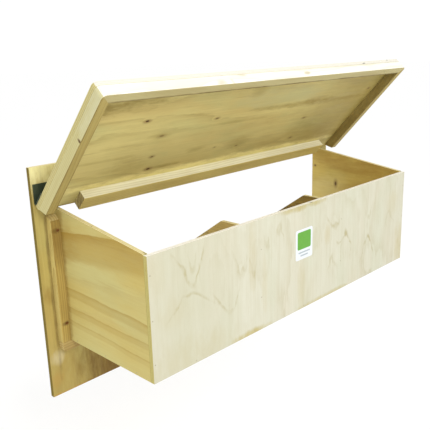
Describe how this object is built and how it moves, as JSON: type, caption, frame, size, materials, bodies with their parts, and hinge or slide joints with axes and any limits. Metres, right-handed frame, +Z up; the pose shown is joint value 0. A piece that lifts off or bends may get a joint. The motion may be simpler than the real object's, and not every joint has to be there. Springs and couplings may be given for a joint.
{
  "type": "poultry nesting box",
  "caption": "Long plywood nest box on a wall panel, divided into side-by-side nests, with a sloping battened lid on a rubber strip hinge.",
  "frame": {"origin": "on the rear face of the wall panel, mid-width, level with the underside of the box", "axes": "+X to the right along the wall as seen from the front, +Y into the hen house (the front faces -Y), +Z up"},
  "size_m": [1.213, 0.3625, 0.8112],
  "materials": {
    "plywood_face": "bare sanded pine plywood, pale, upright grain",
    "plywood_inner": "bare pine plywood, golden, lengthwise grain",
    "plywood_lid": "bare pine plywood, pale gold, lengthwise grain",
    "pine_batten": "bare planed pine",
    "rubber_strip": "matt black-green rubber",
    "zinc_steel": "zinc plated, satin",
    "label": "matt white film with plain coloured bands"
  },
  "bodies": {
    "box": {"front_panel": "plywood_face", "end_panel_left": "plywood_inner", "end_panel_right": "plywood_inner", "floor_panel": "plywood_inner", "divider_left": "plywood_inner", "divider_right": "plywood_inner", "litter_lip": "plywood_inner", "wall_panel": "plywood_face", "batten_left": "pine_batten", "batten_right": "pine_batten", "batten_bottom": "pine_batten", "batten_screws": "zinc_steel", "box_pins": "zinc_steel", "label": "label", "hinge_strip_wall": "rubber_strip", "strip_clouts_wall": "zinc_steel"},
    "lid": {"lid_panel": "plywood_lid", "lid_rim_front": "pine_batten", "lid_rim_left": "pine_batten", "lid_rim_right": "pine_batten", "lid_stiffener": "pine_batten", "lid_pins": "zinc_steel", "hinge_strip_lid": "rubber_strip", "strip_clouts_lid": "zinc_steel"}
  },
  "joints": [
    {"name": "lid_hinge", "type": "hinge", "parent": "box", "child": "lid", "pos_m": [0, -0.014, 0.36234], "axis": [-1, 0, 0], "range_deg": [-55.23, 27.9]}
  ]
}
